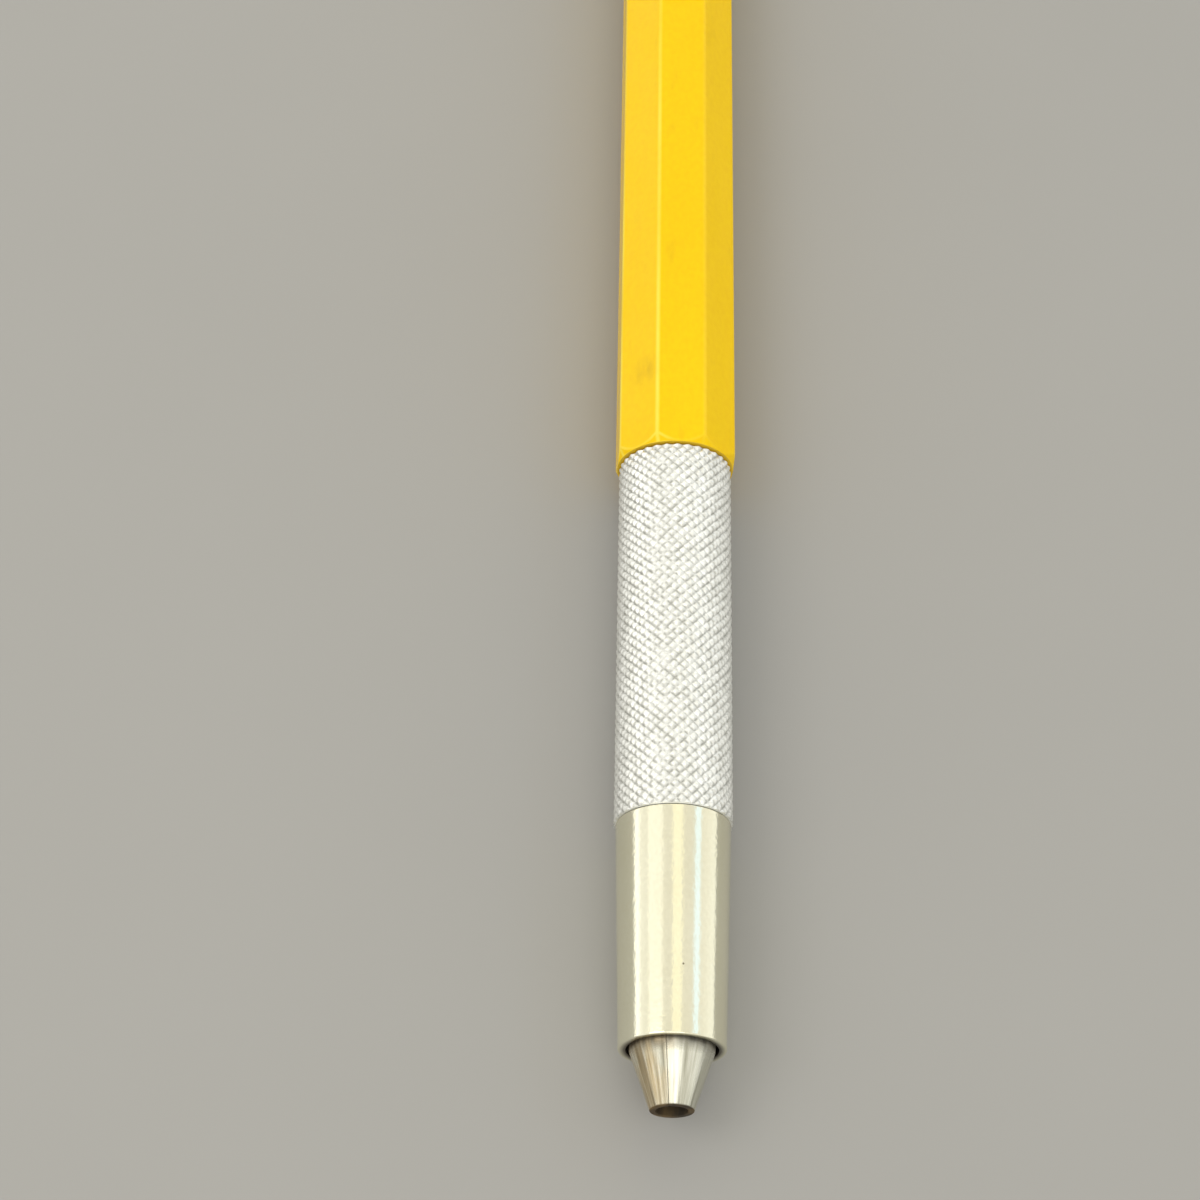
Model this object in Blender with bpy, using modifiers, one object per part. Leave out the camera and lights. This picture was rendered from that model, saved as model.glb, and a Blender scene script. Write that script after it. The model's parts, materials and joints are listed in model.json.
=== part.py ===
"""Clutch lead holder for drafting, lying on a flat of its eight-sided barrel with its tip towards -Y.

Pressing the button pushes the lead tube and the collet forward against the return spring. The
collet's jaws leave the seat in the nose, spring apart and let the lead slide.
Lengths are in metres. A station is a distance along the pencil's axis, measured from the tip.
"""
from math import cos, pi, radians, sin, tan

import bmesh
import bpy
from mathutils import Matrix, Vector

# Clearances
FIT = 0.00005              # radial play of a fixed fit
RUN_CLEAR = 0.0001         # radial play of a sliding fit
END_GAP = 0.0001           # axial gap between two faces that meet
BORE_SPARE = 0.0003        # depth left behind a piece at the bottom of its bore

# Lead
LEAD_DIAMETER = 0.0020
LEAD_SETBACK = 0.0030      # front end of the lead behind the collet's tip
LEAD_CHAMFER = 0.0003
LEAD_REAR_ROOM = 0.0200    # empty tube behind the lead

# Collet
JAW_COUNT = 3
JAW_SLIT = 0.00008         # width of the saw cut between two closed jaws
SLIT_ANGLE = radians(104)  # first saw cut, from +X towards +Z
JAW_LENGTH = 0.0170
JAW_GRIP_PLAY = 0.00006    # radial gap between lead and jaws, as drawn
JAW_GRIP_LENGTH = 0.0060
JAW_RELIEF = 0.00024       # the bore widens by this behind the gripping length
JAW_TIP_WALL = 0.00037
FINGER_WALL = 0.00065
HEAD_STEP = 0.00083        # height of a jaw's head over its finger
HEAD_LAND = 0.0006         # straight length between the head's two cones
HEAD_CONE = 0.0039         # length of the front cone
COLLET_REACH = 0.0040      # length of the jaws in front of the nose
COLLET_NECK = 0.0020       # unsplit length behind the jaws
COLLET_TAIL = 0.0040       # length of the collet inside the lead tube
COLLET_TAIL_WALL = 0.00025
STROKE = 0.0035            # travel of the button, tube and collet
JAW_OPENING = radians(1.2)  # swing of each jaw at the end of the stroke

# Nose
NOSE_LENGTH = 0.0155
NOSE_STEP = 0.00012        # the nose's rear edge lies this far inside the grip
NOSE_RIM = 0.00052         # width of the front rim round the mouth
NOSE_ROUND = 0.0001
NOSE_REAR_CHAMFER = 0.00006
MOUTH_GAP = 0.00022
MOUTH_DEPTH = 0.0007
SEAT_ANGLE = radians(14)   # half angle of the cone that closes the jaws
SEAT_CLEAR = 0.00008
THROAT_LAND = 0.0004
NOSE_SOCKET_DEPTH = 0.0070
NOSE_CHAMBER_STEP = 0.0002

# Lead tube, spring and the rings that hold the spring
TUBE_WALL = 0.0004
SEAT_SETBACK = 0.0040      # spring seat behind the jaws' roots
SEAT_RING_LENGTH = 0.0015
WIRE_DIAMETER = 0.00045
SPRING_CLEAR = 0.0002      # radial room between tube and spring
SPRING_ROOM = 0.00015      # radial room between spring and core
SPRING_TURNS = 10
SPRING_LENGTH = 0.0200
SPRING_END_GAP = 0.0003
COLLAR_LENGTH = 0.0020

# Grip
CORE_WALL = 0.0005
CORE_SHOULDER = 0.0003     # the nose's thread lies this far inside the core
CORE_TAIL = 0.0100         # length of the core inside the barrel
CORE_TAIL_STEP = 0.0001
JAW_ROOM = 0.00045         # radial room round the fingers inside the core
GRIP_LENGTH = 0.0275
GRIP_WALL = 0.00065
GRIP_LAND = 0.00015        # plain edge in front of the knurl
GRIP_LAND_STEP = 0.0001
GRIP_NECK = 0.00015        # groove between knurl and barrel
GRIP_NECK_STEP = 0.0003

# Barrel
BARREL_SIDES = 8
BARREL_LENGTH = 0.0895
BARREL_STEP = 0.00015      # the flats stand this far out over the grip
BARREL_EDGE_ROUND = 0.0005
BARREL_CHAMFER = 0.0010    # length of the cone turned on each end
BARREL_CHAMFER_ANGLE = radians(27)
BARREL_BORE_ROOM = 0.0006  # radial room round the lead tube

# Ferrule and push button
FERRULE_FLANGE = 0.0024
FERRULE_INSET = 0.00025
FERRULE_ROUND = 0.0004
FERRULE_WALL = 0.0005
BUTTON_REACH = 0.0090
BUTTON_SKIRT = 0.0080      # length of the button inside the ferrule
BUTTON_WALL = 0.00065
BUTTON_TOP = 0.0050        # solid end of the button
BUTTON_ROUND = 0.0008

# Facets
TURN_STEPS = 48
ARC_STEPS = 4
EDGE_STEPS = 3
COIL_POINTS = 10           # points along one turn of the spring
CUT_SPARE = 0.001          # a cutter reaches this far past what it cuts

# Radii, worked out from the lead outwards
lead_r = LEAD_DIAMETER / 2
jaw_bore_r = lead_r + JAW_GRIP_PLAY
relief_r = jaw_bore_r + JAW_RELIEF
finger_r = relief_r + FINGER_WALL
head_r = finger_r + HEAD_STEP
tip_r = jaw_bore_r + JAW_TIP_WALL
pivot_r = (relief_r + finger_r) / 2
collet_tail_r = relief_r + COLLET_TAIL_WALL
tube_bore_r = collet_tail_r + FIT
tube_r = tube_bore_r + TUBE_WALL
coil_r = tube_r + SPRING_CLEAR + WIRE_DIAMETER / 2
spring_r = coil_r + WIRE_DIAMETER / 2
chamber_r = spring_r + SPRING_ROOM
core_r = chamber_r + CORE_WALL
core_bore_r = finger_r + JAW_ROOM
core_thread_r = core_r - CORE_SHOULDER
core_tail_r = core_r - CORE_TAIL_STEP
grip_bore_r = core_r + FIT
grip_r = grip_bore_r + GRIP_WALL
mouth_r = head_r + MOUTH_GAP
nose_front_r = mouth_r + NOSE_RIM
nose_rear_r = grip_r - NOSE_STEP
jaw_swing = (JAW_LENGTH - STROKE - COLLET_REACH) * sin(JAW_OPENING)
throat_r = finger_r + jaw_swing + FIT
barrel_flat_r = grip_r + BARREL_STEP
barrel_corner_r = barrel_flat_r / cos(pi / BARREL_SIDES)
barrel_bore_r = tube_r + BARREL_BORE_ROOM
button_socket_r = tube_r + FIT
button_r = button_socket_r + BUTTON_WALL
ferrule_bore_r = button_r + RUN_CLEAR
ferrule_tail_r = ferrule_bore_r + FERRULE_WALL
ferrule_r = barrel_flat_r - FERRULE_INSET

# Stations along the axis, from the tip to the button's end
nose_front = COLLET_REACH
nose_rear = nose_front + NOSE_LENGTH
grip_front = nose_rear + END_GAP
grip_rear = grip_front + GRIP_LENGTH
barrel_front = grip_rear + END_GAP
barrel_rear = barrel_front + BARREL_LENGTH
ferrule_front = barrel_rear + END_GAP
ferrule_rear = ferrule_front + FERRULE_FLANGE
pencil_length = ferrule_rear + BUTTON_REACH
seat_start = HEAD_CONE + HEAD_LAND
head_rear = seat_start + HEAD_STEP / tan(SEAT_ANGLE)
collet_front = JAW_LENGTH + END_GAP
tube_front = collet_front + COLLET_NECK
collet_rear = tube_front + COLLET_TAIL
core_front = nose_rear - NOSE_SOCKET_DEPTH
core_rear = barrel_front + CORE_TAIL
seat_front = JAW_LENGTH + SEAT_SETBACK
seat_rear = seat_front + SEAT_RING_LENGTH
spring_front = seat_rear + SPRING_END_GAP
spring_rear = spring_front + SPRING_LENGTH
collar_front = spring_rear + SPRING_END_GAP
button_front = ferrule_rear - BUTTON_SKIRT
button_floor = pencil_length - BUTTON_TOP
tube_rear = button_floor - END_GAP
lead_rear = tube_rear - LEAD_REAR_ROOM
ferrule_tail_front = button_front - STROKE - BORE_SPARE


def clear_scene():
    for thing in list(bpy.data.objects):
        bpy.data.objects.remove(thing, do_unlink=True)


def new_collection(name):
    collection = bpy.data.collections.new(name)
    bpy.context.scene.collection.children.link(collection)
    return collection


def new_material(name, colour, roughness, metallic):
    material = bpy.data.materials.new(name)
    material.use_nodes = True
    shader = material.node_tree.nodes["Principled BSDF"]
    shader.inputs["Base Color"].default_value = (*colour, 1.0)
    shader.inputs["Roughness"].default_value = roughness
    shader.inputs["Metallic"].default_value = metallic
    return material


def add_object(name, data, collection, parent, material=None):
    thing = bpy.data.objects.new(name, data)
    thing.parent = parent
    collection.objects.link(thing)
    if material:
        data.materials.append(material)
    return thing


def make_cutter(thing):
    thing.hide_render = True
    thing.display_type = "WIRE"
    return thing


def arc(centre_r, centre_s, radius, start, end):
    """Points of a round in the profile's plane, angles from outward towards the rear."""
    angles = [start + (end - start) * i / ARC_STEPS for i in range(ARC_STEPS + 1)]
    return [(centre_r + radius * cos(a), centre_s + radius * sin(a)) for a in angles]


def turned(name, profile, collection, parent, material=None):
    """Solid turned about the parent's Z axis. The profile lists (radius, station) down the outer side
    from rear to front and back along the bore. It closes on itself, or starts and ends on the axis."""
    mesh = bpy.data.meshes.new(name)
    count = len(profile)
    open_ends = profile[0][0] == 0.0
    edges = [(i, (i + 1) % count) for i in range(count - 1 if open_ends else count)]
    mesh.from_pydata([(r, 0.0, s) for r, s in profile], edges, [])
    thing = add_object(name, mesh, collection, parent, material)
    screw = thing.modifiers.new("turn", "SCREW")
    screw.axis = "Z"
    screw.angle = 2 * pi
    screw.steps = TURN_STEPS
    screw.render_steps = TURN_STEPS
    screw.use_merge_vertices = True
    screw.merge_threshold = 1e-7
    return thing


def boolean(thing, operation, cutter):
    cut = thing.modifiers.new(operation.lower(), "BOOLEAN")
    cut.operation = operation
    cut.object = cutter


def around(angle):
    """Unit vector across the axis frame for an angle from world +X towards world +Z."""
    return Vector((cos(angle), -sin(angle), 0.0))


def make_lead(parts, axis):
    material = new_material("graphite", (0.03, 0.03, 0.035), 0.45, 0.0)
    profile = [(0.0, lead_rear), (lead_r, lead_rear), (lead_r, LEAD_SETBACK + LEAD_CHAMFER),
               (lead_r - LEAD_CHAMFER, LEAD_SETBACK), (0.0, LEAD_SETBACK)]
    turned("lead", profile, parts, axis, material)


def make_jaws(parts, cutters, axis):
    """Three spring fingers with wedge-shaped heads, parted by saw cuts. Each hangs on an empty at the
    root of its finger, where it bends."""
    profile = [(finger_r, JAW_LENGTH), (finger_r, head_rear), (head_r, seat_start),
               (head_r, HEAD_CONE), (tip_r, 0.0), (jaw_bore_r, 0.0), (jaw_bore_r, JAW_GRIP_LENGTH),
               (relief_r, JAW_GRIP_LENGTH + JAW_RELIEF), (relief_r, JAW_LENGTH)]
    share = pi / JAW_COUNT
    for index in range(JAW_COUNT):
        number = index + 1
        angle = SLIT_ANGLE + share * (2 * index + 1)
        pivot = bpy.data.objects.new(f"jaw_pivot_{number}", None)
        pivot.parent = axis
        pivot.location = around(angle) * pivot_r + Vector((0.0, 0.0, JAW_LENGTH))
        parts.objects.link(pivot)
        material = new_material(f"collet_nickel_{number}", (0.72, 0.69, 0.64), 0.22, 1.0)
        jaw = turned(f"collet_jaw_{number}", profile, parts, pivot, material)
        jaw.location = -pivot.location
        boolean(jaw, "INTERSECT", make_jaw_wedge(f"jaw_wedge_{number}", angle, cutters, axis))


def make_jaw_wedge(name, angle, cutters, axis):
    """Three-sided prism whose two long sides are the faces of the saw cuts beside one jaw."""
    share = pi / JAW_COUNT
    reach = 2 * head_r
    bm = bmesh.new()
    bmesh.ops.create_cone(bm, cap_ends=True, segments=3, radius1=reach, radius2=reach,
                          depth=JAW_LENGTH + 2 * CUT_SPARE)
    bmesh.ops.scale(bm, vec=(tan(share) / tan(pi / 6), 1.0, 1.0), verts=bm.verts)
    bmesh.ops.translate(bm, vec=(0.0, -reach, JAW_LENGTH / 2), verts=bm.verts)
    mesh = bpy.data.meshes.new(name)
    bm.to_mesh(mesh)
    bm.free()
    wedge = make_cutter(add_object(name, mesh, cutters, axis))
    wedge.location = around(angle) * (JAW_SLIT / 2 / sin(share))
    wedge.rotation_euler.z = pi / 2 - angle
    return wedge


def make_collet_body(parts, axis):
    material = new_material("collet_brass", (0.72, 0.55, 0.25), 0.3, 1.0)
    shoulder = tube_front - END_GAP
    profile = [(collet_tail_r, collet_rear), (collet_tail_r, shoulder), (finger_r, shoulder),
               (finger_r, collet_front), (relief_r, collet_front), (relief_r, collet_rear)]
    turned("collet_body", profile, parts, axis, material)


def make_lead_tube(parts, axis):
    material = new_material("tube_brass", (0.75, 0.58, 0.28), 0.32, 1.0)
    profile = [(tube_r, tube_rear), (tube_r, tube_front),
               (tube_bore_r, tube_front), (tube_bore_r, tube_rear)]
    turned("lead_tube", profile, parts, axis, material)


def make_ring(name, outer_r, inner_r, front, rear, colour, parts, axis):
    material = new_material(f"{name}_metal", colour, 0.35, 1.0)
    profile = [(outer_r, rear), (outer_r, front), (inner_r, front), (inner_r, rear)]
    turned(name, profile, parts, axis, material)


def make_spring_rings(parts, axis):
    """Seat ring pressed into the core in front of the spring, and collar fixed to the tube behind it."""
    brass = (0.7, 0.54, 0.26)
    make_ring("spring_seat", chamber_r - FIT, tube_r + RUN_CLEAR, seat_front + END_GAP, seat_rear,
              brass, parts, axis)
    make_ring("spring_collar", spring_r, tube_r + FIT, collar_front, collar_front + COLLAR_LENGTH,
              brass, parts, axis)


def make_spring(parts, axis):
    """Open-ended compression spring, one wire wound round the lead tube."""
    count = SPRING_TURNS * COIL_POINTS
    climb = (SPRING_LENGTH - WIRE_DIAMETER) / count
    start = spring_front + WIRE_DIAMETER / 2
    points = []
    for i in range(count + 1):
        turn = 2 * pi * i / COIL_POINTS
        points.append(Vector((coil_r * cos(turn), coil_r * sin(turn), start + climb * i)))
    curve = bpy.data.curves.new("return_spring", "CURVE")
    curve.dimensions = "3D"
    curve.bevel_depth = WIRE_DIAMETER / 2
    curve.bevel_resolution = 1
    curve.use_fill_caps = True
    spline = curve.splines.new("POLY")
    spline.points.add(count)
    for point, place in zip(spline.points, points):
        point.co = (*place, 1.0)
    material = new_material("spring_steel", (0.6, 0.6, 0.62), 0.28, 1.0)
    add_object("return_spring", curve, parts, axis, material)
    half = COIL_POINTS // 2
    nearest = min((points[j] - points[i]).length
                  for i in range(count + 1) for j in range(i + half, count + 1))
    print(f"return_spring: least gap to itself {(nearest - WIRE_DIAMETER) * 1000:.2f} mm")


def make_nose(parts, axis):
    """Slightly tapered cap that screws onto the core. The cone inside its mouth closes the jaws."""
    material = new_material("nose_nickel", (0.78, 0.75, 0.69), 0.12, 1.0)
    mouth_floor = nose_front + MOUTH_DEPTH
    seat_gap = head_r + SEAT_CLEAR
    seat_front_r = seat_gap - (mouth_floor - seat_start) * tan(SEAT_ANGLE)
    throat_front = seat_start + (seat_gap - throat_r) / tan(SEAT_ANGLE)
    throat_rear = throat_front + THROAT_LAND
    socket_r = core_thread_r + FIT
    socket_floor = core_front - BORE_SPARE
    chamber = core_bore_r + NOSE_CHAMBER_STEP
    profile = [(nose_rear_r - NOSE_REAR_CHAMFER, nose_rear), (nose_rear_r, nose_rear - NOSE_REAR_CHAMFER)]
    profile += arc(nose_front_r - NOSE_ROUND, nose_front + NOSE_ROUND, NOSE_ROUND, 0.0, -pi / 2)
    profile += [(mouth_r, nose_front), (mouth_r, mouth_floor), (seat_front_r, mouth_floor),
                (throat_r, throat_front), (throat_r, throat_rear),
                (chamber, throat_rear + chamber - throat_r), (chamber, socket_floor),
                (socket_r, socket_floor), (socket_r, nose_rear)]
    turned("nose_cap", profile, parts, axis, material)


def make_core(parts, axis):
    """Brass tube that carries the nose in front, the grip sleeve outside and the spring inside, and
    screws into the barrel."""
    material = new_material("core_brass", (0.7, 0.53, 0.25), 0.35, 1.0)
    profile = [(core_tail_r, core_rear), (core_tail_r, grip_rear), (core_r, grip_rear),
               (core_r, grip_front), (core_thread_r, grip_front), (core_thread_r, core_front),
               (core_bore_r, core_front), (core_bore_r, seat_front), (chamber_r, seat_front),
               (chamber_r, core_rear)]
    turned("grip_core", profile, parts, axis, material)


def make_grip(parts, axis):
    """Knurled sleeve, with a plain edge at the nose and a narrow groove at the barrel."""
    material = new_material("grip_aluminium", (0.86, 0.86, 0.84), 0.38, 1.0)
    neck_r = grip_r - GRIP_NECK_STEP
    land_r = grip_r - GRIP_LAND_STEP
    neck_front = grip_rear - GRIP_NECK
    land_rear = grip_front + GRIP_LAND
    profile = [(neck_r, grip_rear), (neck_r, neck_front), (land_r, neck_front),
               (grip_r, neck_front - GRIP_LAND_STEP), (grip_r, land_rear + GRIP_LAND_STEP),
               (land_r, land_rear), (land_r, grip_front), (grip_bore_r, grip_front),
               (grip_bore_r, grip_rear)]
    turned("grip_sleeve", profile, parts, axis, material)


def make_barrel(parts, cutters, axis):
    """Eight-sided lacquered barrel with rounded edges, a cone turned on each end and a stepped bore."""
    material = new_material("yellow_lacquer", (0.9, 0.56, 0.02), 0.16, 0.0)
    bm = bmesh.new()
    turn = Matrix.Rotation(pi / BARREL_SIDES, 4, "Z")
    place = Matrix.Translation((0.0, 0.0, (barrel_front + barrel_rear) / 2)) @ turn
    bmesh.ops.create_cone(bm, cap_ends=True, segments=BARREL_SIDES, radius1=barrel_corner_r,
                          radius2=barrel_corner_r, depth=BARREL_LENGTH, matrix=place)
    ridges = [e for e in bm.edges if abs(e.verts[0].co.z - e.verts[1].co.z) > BARREL_LENGTH / 2]
    bmesh.ops.bevel(bm, geom=ridges, offset=BARREL_EDGE_ROUND * tan(pi / BARREL_SIDES), segments=EDGE_STEPS,
                    profile=0.5, affect="EDGES")
    mesh = bpy.data.meshes.new("barrel")
    bm.to_mesh(mesh)
    bm.free()
    barrel = add_object("barrel", mesh, parts, axis, material)
    swell = BARREL_CHAMFER * tan(BARREL_CHAMFER_ANGLE)
    full_r = barrel_flat_r + swell
    envelope = [(0.0, barrel_rear), (barrel_flat_r, barrel_rear), (full_r, barrel_rear - BARREL_CHAMFER),
                (full_r, barrel_front + BARREL_CHAMFER), (barrel_flat_r, barrel_front), (0.0, barrel_front)]
    rear_bore_r = ferrule_tail_r + FIT
    front_bore_r = core_tail_r + FIT
    front_floor = core_rear + BORE_SPARE
    rear_floor = ferrule_tail_front - BORE_SPARE
    bore = [(0.0, barrel_rear + CUT_SPARE), (rear_bore_r, barrel_rear + CUT_SPARE),
            (rear_bore_r, rear_floor), (barrel_bore_r, rear_floor), (barrel_bore_r, front_floor),
            (front_bore_r, front_floor), (front_bore_r, barrel_front - CUT_SPARE),
            (0.0, barrel_front - CUT_SPARE)]
    boolean(barrel, "INTERSECT", make_cutter(turned("barrel_envelope", envelope, cutters, axis)))
    boolean(barrel, "DIFFERENCE", make_cutter(turned("barrel_bore", bore, cutters, axis)))


def make_ferrule(parts, axis):
    """Ring that closes the barrel's rear end and guides the button."""
    material = new_material("ferrule_nickel", (0.78, 0.75, 0.69), 0.15, 1.0)
    profile = [(ferrule_bore_r, ferrule_rear)]
    profile += arc(ferrule_r - FERRULE_ROUND, ferrule_rear - FERRULE_ROUND, FERRULE_ROUND, pi / 2, 0.0)
    profile += [(ferrule_r, ferrule_front), (ferrule_tail_r, ferrule_front),
                (ferrule_tail_r, ferrule_tail_front), (ferrule_bore_r, ferrule_tail_front)]
    turned("rear_ferrule", profile, parts, axis, material)


def make_button(parts, axis):
    """Round-ended cap on the rear of the lead tube."""
    material = new_material("button_nickel", (0.78, 0.75, 0.69), 0.14, 1.0)
    profile = [(0.0, pencil_length)]
    profile += arc(button_r - BUTTON_ROUND, pencil_length - BUTTON_ROUND, BUTTON_ROUND, pi / 2, 0.0)
    profile += [(button_r, button_front), (button_socket_r, button_front), (button_socket_r, button_floor),
                (0.0, button_floor)]
    turned("push_button", profile, parts, axis, material)


def main():
    clear_scene()
    parts = new_collection("lead_holder")
    cutters = new_collection("cutters")
    axis = bpy.data.objects.new("pencil_axis", None)
    axis.location = (0.0, -pencil_length / 2, barrel_flat_r)
    axis.rotation_euler.x = -pi / 2
    parts.objects.link(axis)
    make_lead(parts, axis)
    make_jaws(parts, cutters, axis)
    make_collet_body(parts, axis)
    make_lead_tube(parts, axis)
    make_spring_rings(parts, axis)
    make_spring(parts, axis)
    make_nose(parts, axis)
    make_core(parts, axis)
    make_grip(parts, axis)
    make_barrel(parts, cutters, axis)
    make_ferrule(parts, axis)
    make_button(parts, axis)
    bpy.context.view_layer.update()


main()
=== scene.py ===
"""Looks of a clutch lead holder that lies on a pale floor with its tip towards the camera.

Every piece is a surface worked out as arrays: profiles turned about the pencil's axis, an eight-sided
barrel, a knurled sleeve on a lattice of triangles, three split jaws and a wound spring.
Stations are distances from the tip along the axis, and angles run round it from +X towards +Z.
"""
import json
from math import cos, pi, radians, sin, tan

import bpy
import numpy as np
from mathutils import Matrix, Vector

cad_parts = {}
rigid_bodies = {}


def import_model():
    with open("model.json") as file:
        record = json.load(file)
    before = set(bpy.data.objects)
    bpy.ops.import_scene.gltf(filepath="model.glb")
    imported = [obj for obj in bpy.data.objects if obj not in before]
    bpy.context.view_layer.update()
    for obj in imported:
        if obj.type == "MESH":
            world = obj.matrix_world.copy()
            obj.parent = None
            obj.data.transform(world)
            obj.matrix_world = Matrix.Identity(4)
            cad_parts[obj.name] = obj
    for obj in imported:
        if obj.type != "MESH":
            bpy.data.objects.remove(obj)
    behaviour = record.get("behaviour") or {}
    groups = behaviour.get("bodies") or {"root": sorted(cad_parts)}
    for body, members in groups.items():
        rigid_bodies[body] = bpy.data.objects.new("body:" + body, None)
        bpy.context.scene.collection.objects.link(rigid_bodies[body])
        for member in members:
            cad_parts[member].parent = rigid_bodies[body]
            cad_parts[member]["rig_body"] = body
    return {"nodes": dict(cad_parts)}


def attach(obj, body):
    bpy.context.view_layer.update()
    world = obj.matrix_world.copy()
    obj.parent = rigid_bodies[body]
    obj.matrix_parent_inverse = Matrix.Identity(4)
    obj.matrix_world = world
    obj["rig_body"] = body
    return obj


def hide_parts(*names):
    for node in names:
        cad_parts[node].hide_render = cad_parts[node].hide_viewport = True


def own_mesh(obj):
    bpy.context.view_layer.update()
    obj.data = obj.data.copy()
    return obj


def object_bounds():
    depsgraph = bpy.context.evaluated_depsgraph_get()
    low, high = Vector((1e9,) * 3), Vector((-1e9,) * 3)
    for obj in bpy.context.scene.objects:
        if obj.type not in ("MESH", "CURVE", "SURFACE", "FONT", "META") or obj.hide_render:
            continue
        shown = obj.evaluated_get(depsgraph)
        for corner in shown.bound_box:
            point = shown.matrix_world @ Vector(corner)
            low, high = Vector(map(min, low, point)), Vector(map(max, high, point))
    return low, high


MM = 0.001                 # lengths and stations are in millimetres, and this makes them metres

# Barrel
BARREL_ENDS = (47.2, 136.7)
BARREL_FLAT_R = 4.15
BARREL_EDGE_ROUND = 0.5
BARREL_END_R = 4.135       # radius of the end faces
BARREL_CHAMFER_ANGLE = radians(27)
BARREL_FRONT_BORE = (3.25, 57.5)   # radius, and the station where it ends inside
BARREL_REAR_BORE = (3.35, 127.1)
BARREL_BORE_R = 2.6        # between those two

# Grip
GRIP_ENDS = (19.6, 47.1)
GRIP_BORE_R = 3.35
GRIP_R = 4.0
GRIP_FRONT_R = 3.9         # plain ring in front of the knurl
GRIP_FRONT_EDGE = 0.04     # bevel of that ring
GRIP_REAR_RS = (3.84, 3.8)  # plain ring behind the knurl, at its front and rear
RING_GAP = 0.005           # between the plain rings and the knurl, along the axis
KNURL_ENDS = (19.64, 47.085)
KNURL_STARTS = 33          # grooves of each hand round the grip
KNURL_PITCHES = (0.741, 0.667)  # between grooves, along the axis, for each hand
KNURL_DEPTH = 0.13
KNURL_SLOPE = (1.0, 0.52, 0.14, 0.0, 0.14, 0.52)  # shares of that depth, from one groove to the next

# Collet
JAW_COUNT = 3
JAW_LENGTH = 17.0
JAW_COLUMNS = 41           # points across a jaw
JAW_EDGE = 0.012           # ease of the edges along the slits
JAW_EDGE_SHARE = 0.015     # part of half a jaw's width that the ease takes up
SLIT_ANGLE = radians(104)
SLIT_WIDTH = 0.03
TIP_R = 1.43
FINGER_R = 1.95
HEAD_R = 2.78
HEAD_ENDS = (3.9, 4.5)     # straight stretch between the two cones of a jaw's head
CONE_SLOPE = tan(radians(14))  # of the head's rear cone and of the nose's seat
CLAMP_R = 1.06             # bore that holds the lead
CLAMP_LENGTH = 6.0
COLLET_BORE_R = 1.3        # bore behind that
head_rear = HEAD_ENDS[1] + (HEAD_R - FINGER_R) / CONE_SLOPE

# Nose
NOSE_ENDS = (4.0, 19.57)
NOSE_END_RS = (3.52, 3.88)
NOSE_CHAMFER = 0.06        # at its rear edge
MOUTH_R = 3.0
SOCKET_R = 3.05            # bore that takes the core
SOCKET_FLOOR = 12.2
CHAMBER_R = 2.6            # bore round the fingers
THROAT_R = 2.199           # narrowest bore, behind the seat
THROAT_LENGTH = 0.4
SEAT_FRONT = 4.7
SEAT_CLEAR = 0.08          # between the seat and the heads
seat_r = HEAD_R + SEAT_CLEAR - (SEAT_FRONT - HEAD_ENDS[1]) * CONE_SLOPE
throat_front = SEAT_FRONT + (seat_r - THROAT_R) / CONE_SLOPE
throat_rear = throat_front + THROAT_LENGTH

# Return spring
COIL_R = 2.425
WIRE_R = 0.225
SPRING_ENDS = (22.8, 42.8)
SPRING_TURNS = 10

TURN_COLUMNS = 192         # points round a turned piece

# Where the finishes change. A pair gives the places between which a change fades in or out
HIGHLIGHT_ACROSS = (-1.0, 1.5)        # the barrel's paler edges, partly a painted highlight, fade towards +X
HIGHLIGHT_STATIONS = (55.0, 90.0)     # and towards the rear
SMUDGE_PLACE = (-2.55, 53.4, 3.3)  # across, station and height above the axis
SMUDGE_REACH = (0.2, 1.5)
MOUTH_SHADE_RADII = (3.1, 3.42)          # painted shade in the nose's mouth
MOUTH_SHADE_STATIONS = (5.0, 6.0)
BRASS_AND_SHADE_ACROSS = (-1.2, 0.1)         # brass shows through on the jaws towards -X, and paints shade on that side
BORE_DUST_RADII = (1.08, 1.16)     # graphite dust on the jaws
END_DUST_STATIONS = (0.04, 0.13)
# Painted shade under the nose's lip, in the dust's dark colour
LIP_SHADE_STATIONS = (3.2, 3.95)

# Camera and studio, in metres where nothing else is said
CAMERA_PLACE = (-0.01664, -0.124622, 0.167245)
CAMERA_TURN = (27.924, -4.538, 0.996)  # degrees
CAMERA_LENS = 79.74        # millimetres
CAMERA_SENSOR = 36.0       # millimetres
LAMP_STATION = 30.0        # millimetres, the place on the pencil that the panels face
LAMP_DISTANCE = 0.6
FLOOR_HALF_SIDE = 4.0
FLOOR_GAP = 0.00002        # below the pencil

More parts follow.
